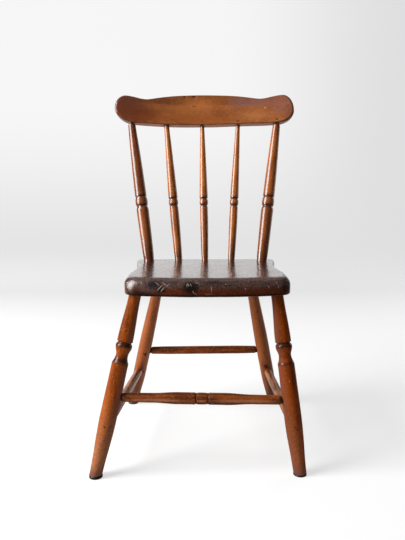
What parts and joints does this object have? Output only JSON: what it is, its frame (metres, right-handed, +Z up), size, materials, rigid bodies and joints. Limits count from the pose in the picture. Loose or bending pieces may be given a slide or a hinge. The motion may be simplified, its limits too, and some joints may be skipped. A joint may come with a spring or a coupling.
{
  "type": "plank seat chair",
  "caption": "Turned wooden side chair with a plank seat, a spindle back and a shaped crest rail, in worn and scratched dark varnish.",
  "frame": {"origin": "on the floor, below the middle of the chair's overall box", "axes": "+Z up, the chair's front faces -Y, +X to the right as seen from in front"},
  "size_m": [0.4954, 0.5098, 0.8695],
  "materials": {
    "seat_varnish": "dark glossy varnish over worn wood, scratched, with small pits and pale scuffs",
    "crest_varnish": "mottled brown stain and varnish, darker at the top edge and one end, with chips and dents",
    "front_leg_varnish": "orange brown stain and varnish, dark where it has gathered in the turnings",
    "rear_leg_varnish": "dark orange brown stain and varnish, worn",
    "post_varnish": "glossy dark red brown varnish, lighter where it has worn",
    "spindle_varnish": "glossy golden brown varnish with dark rings at the bead",
    "stretcher_varnish": "brown stain and thin varnish, rubbed on top",
    "glide_black": "black, slightly glossy",
    "brad_iron": "dark oxidised iron"
  },
  "bodies": {
    "root": {"seat": "seat_varnish", "crest_rail": "crest_varnish", "leg_front_left": "front_leg_varnish", "leg_front_right": "front_leg_varnish", "leg_rear_left": "rear_leg_varnish", "leg_rear_right": "rear_leg_varnish", "post_left": "post_varnish", "post_right": "post_varnish", "spindle_left": "spindle_varnish", "spindle_centre": "spindle_varnish", "spindle_right": "spindle_varnish", "stretcher_front": "stretcher_varnish", "stretcher_rear": "stretcher_varnish", "stretcher_left": "stretcher_varnish", "stretcher_right": "stretcher_varnish", "glide_front_left": "glide_black", "glide_front_right": "glide_black", "glide_rear_left": "glide_black", "glide_rear_right": "glide_black", "glide_nail_front_left": "brad_iron", "glide_nail_front_right": "brad_iron", "glide_nail_rear_left": "brad_iron", "glide_nail_rear_right": "brad_iron", "brad_post_left": "brad_iron", "brad_post_right": "brad_iron", "brad_spindle_left": "brad_iron", "brad_spindle_centre": "brad_iron", "brad_spindle_right": "brad_iron", "brad_rear_rear_left": "brad_iron", "brad_rear_rear_right": "brad_iron", "brad_side_front_left": "brad_iron", "brad_side_front_right": "brad_iron", "brad_side_rear_left": "brad_iron", "brad_side_rear_right": "brad_iron"}
  },
  "joints": []
}
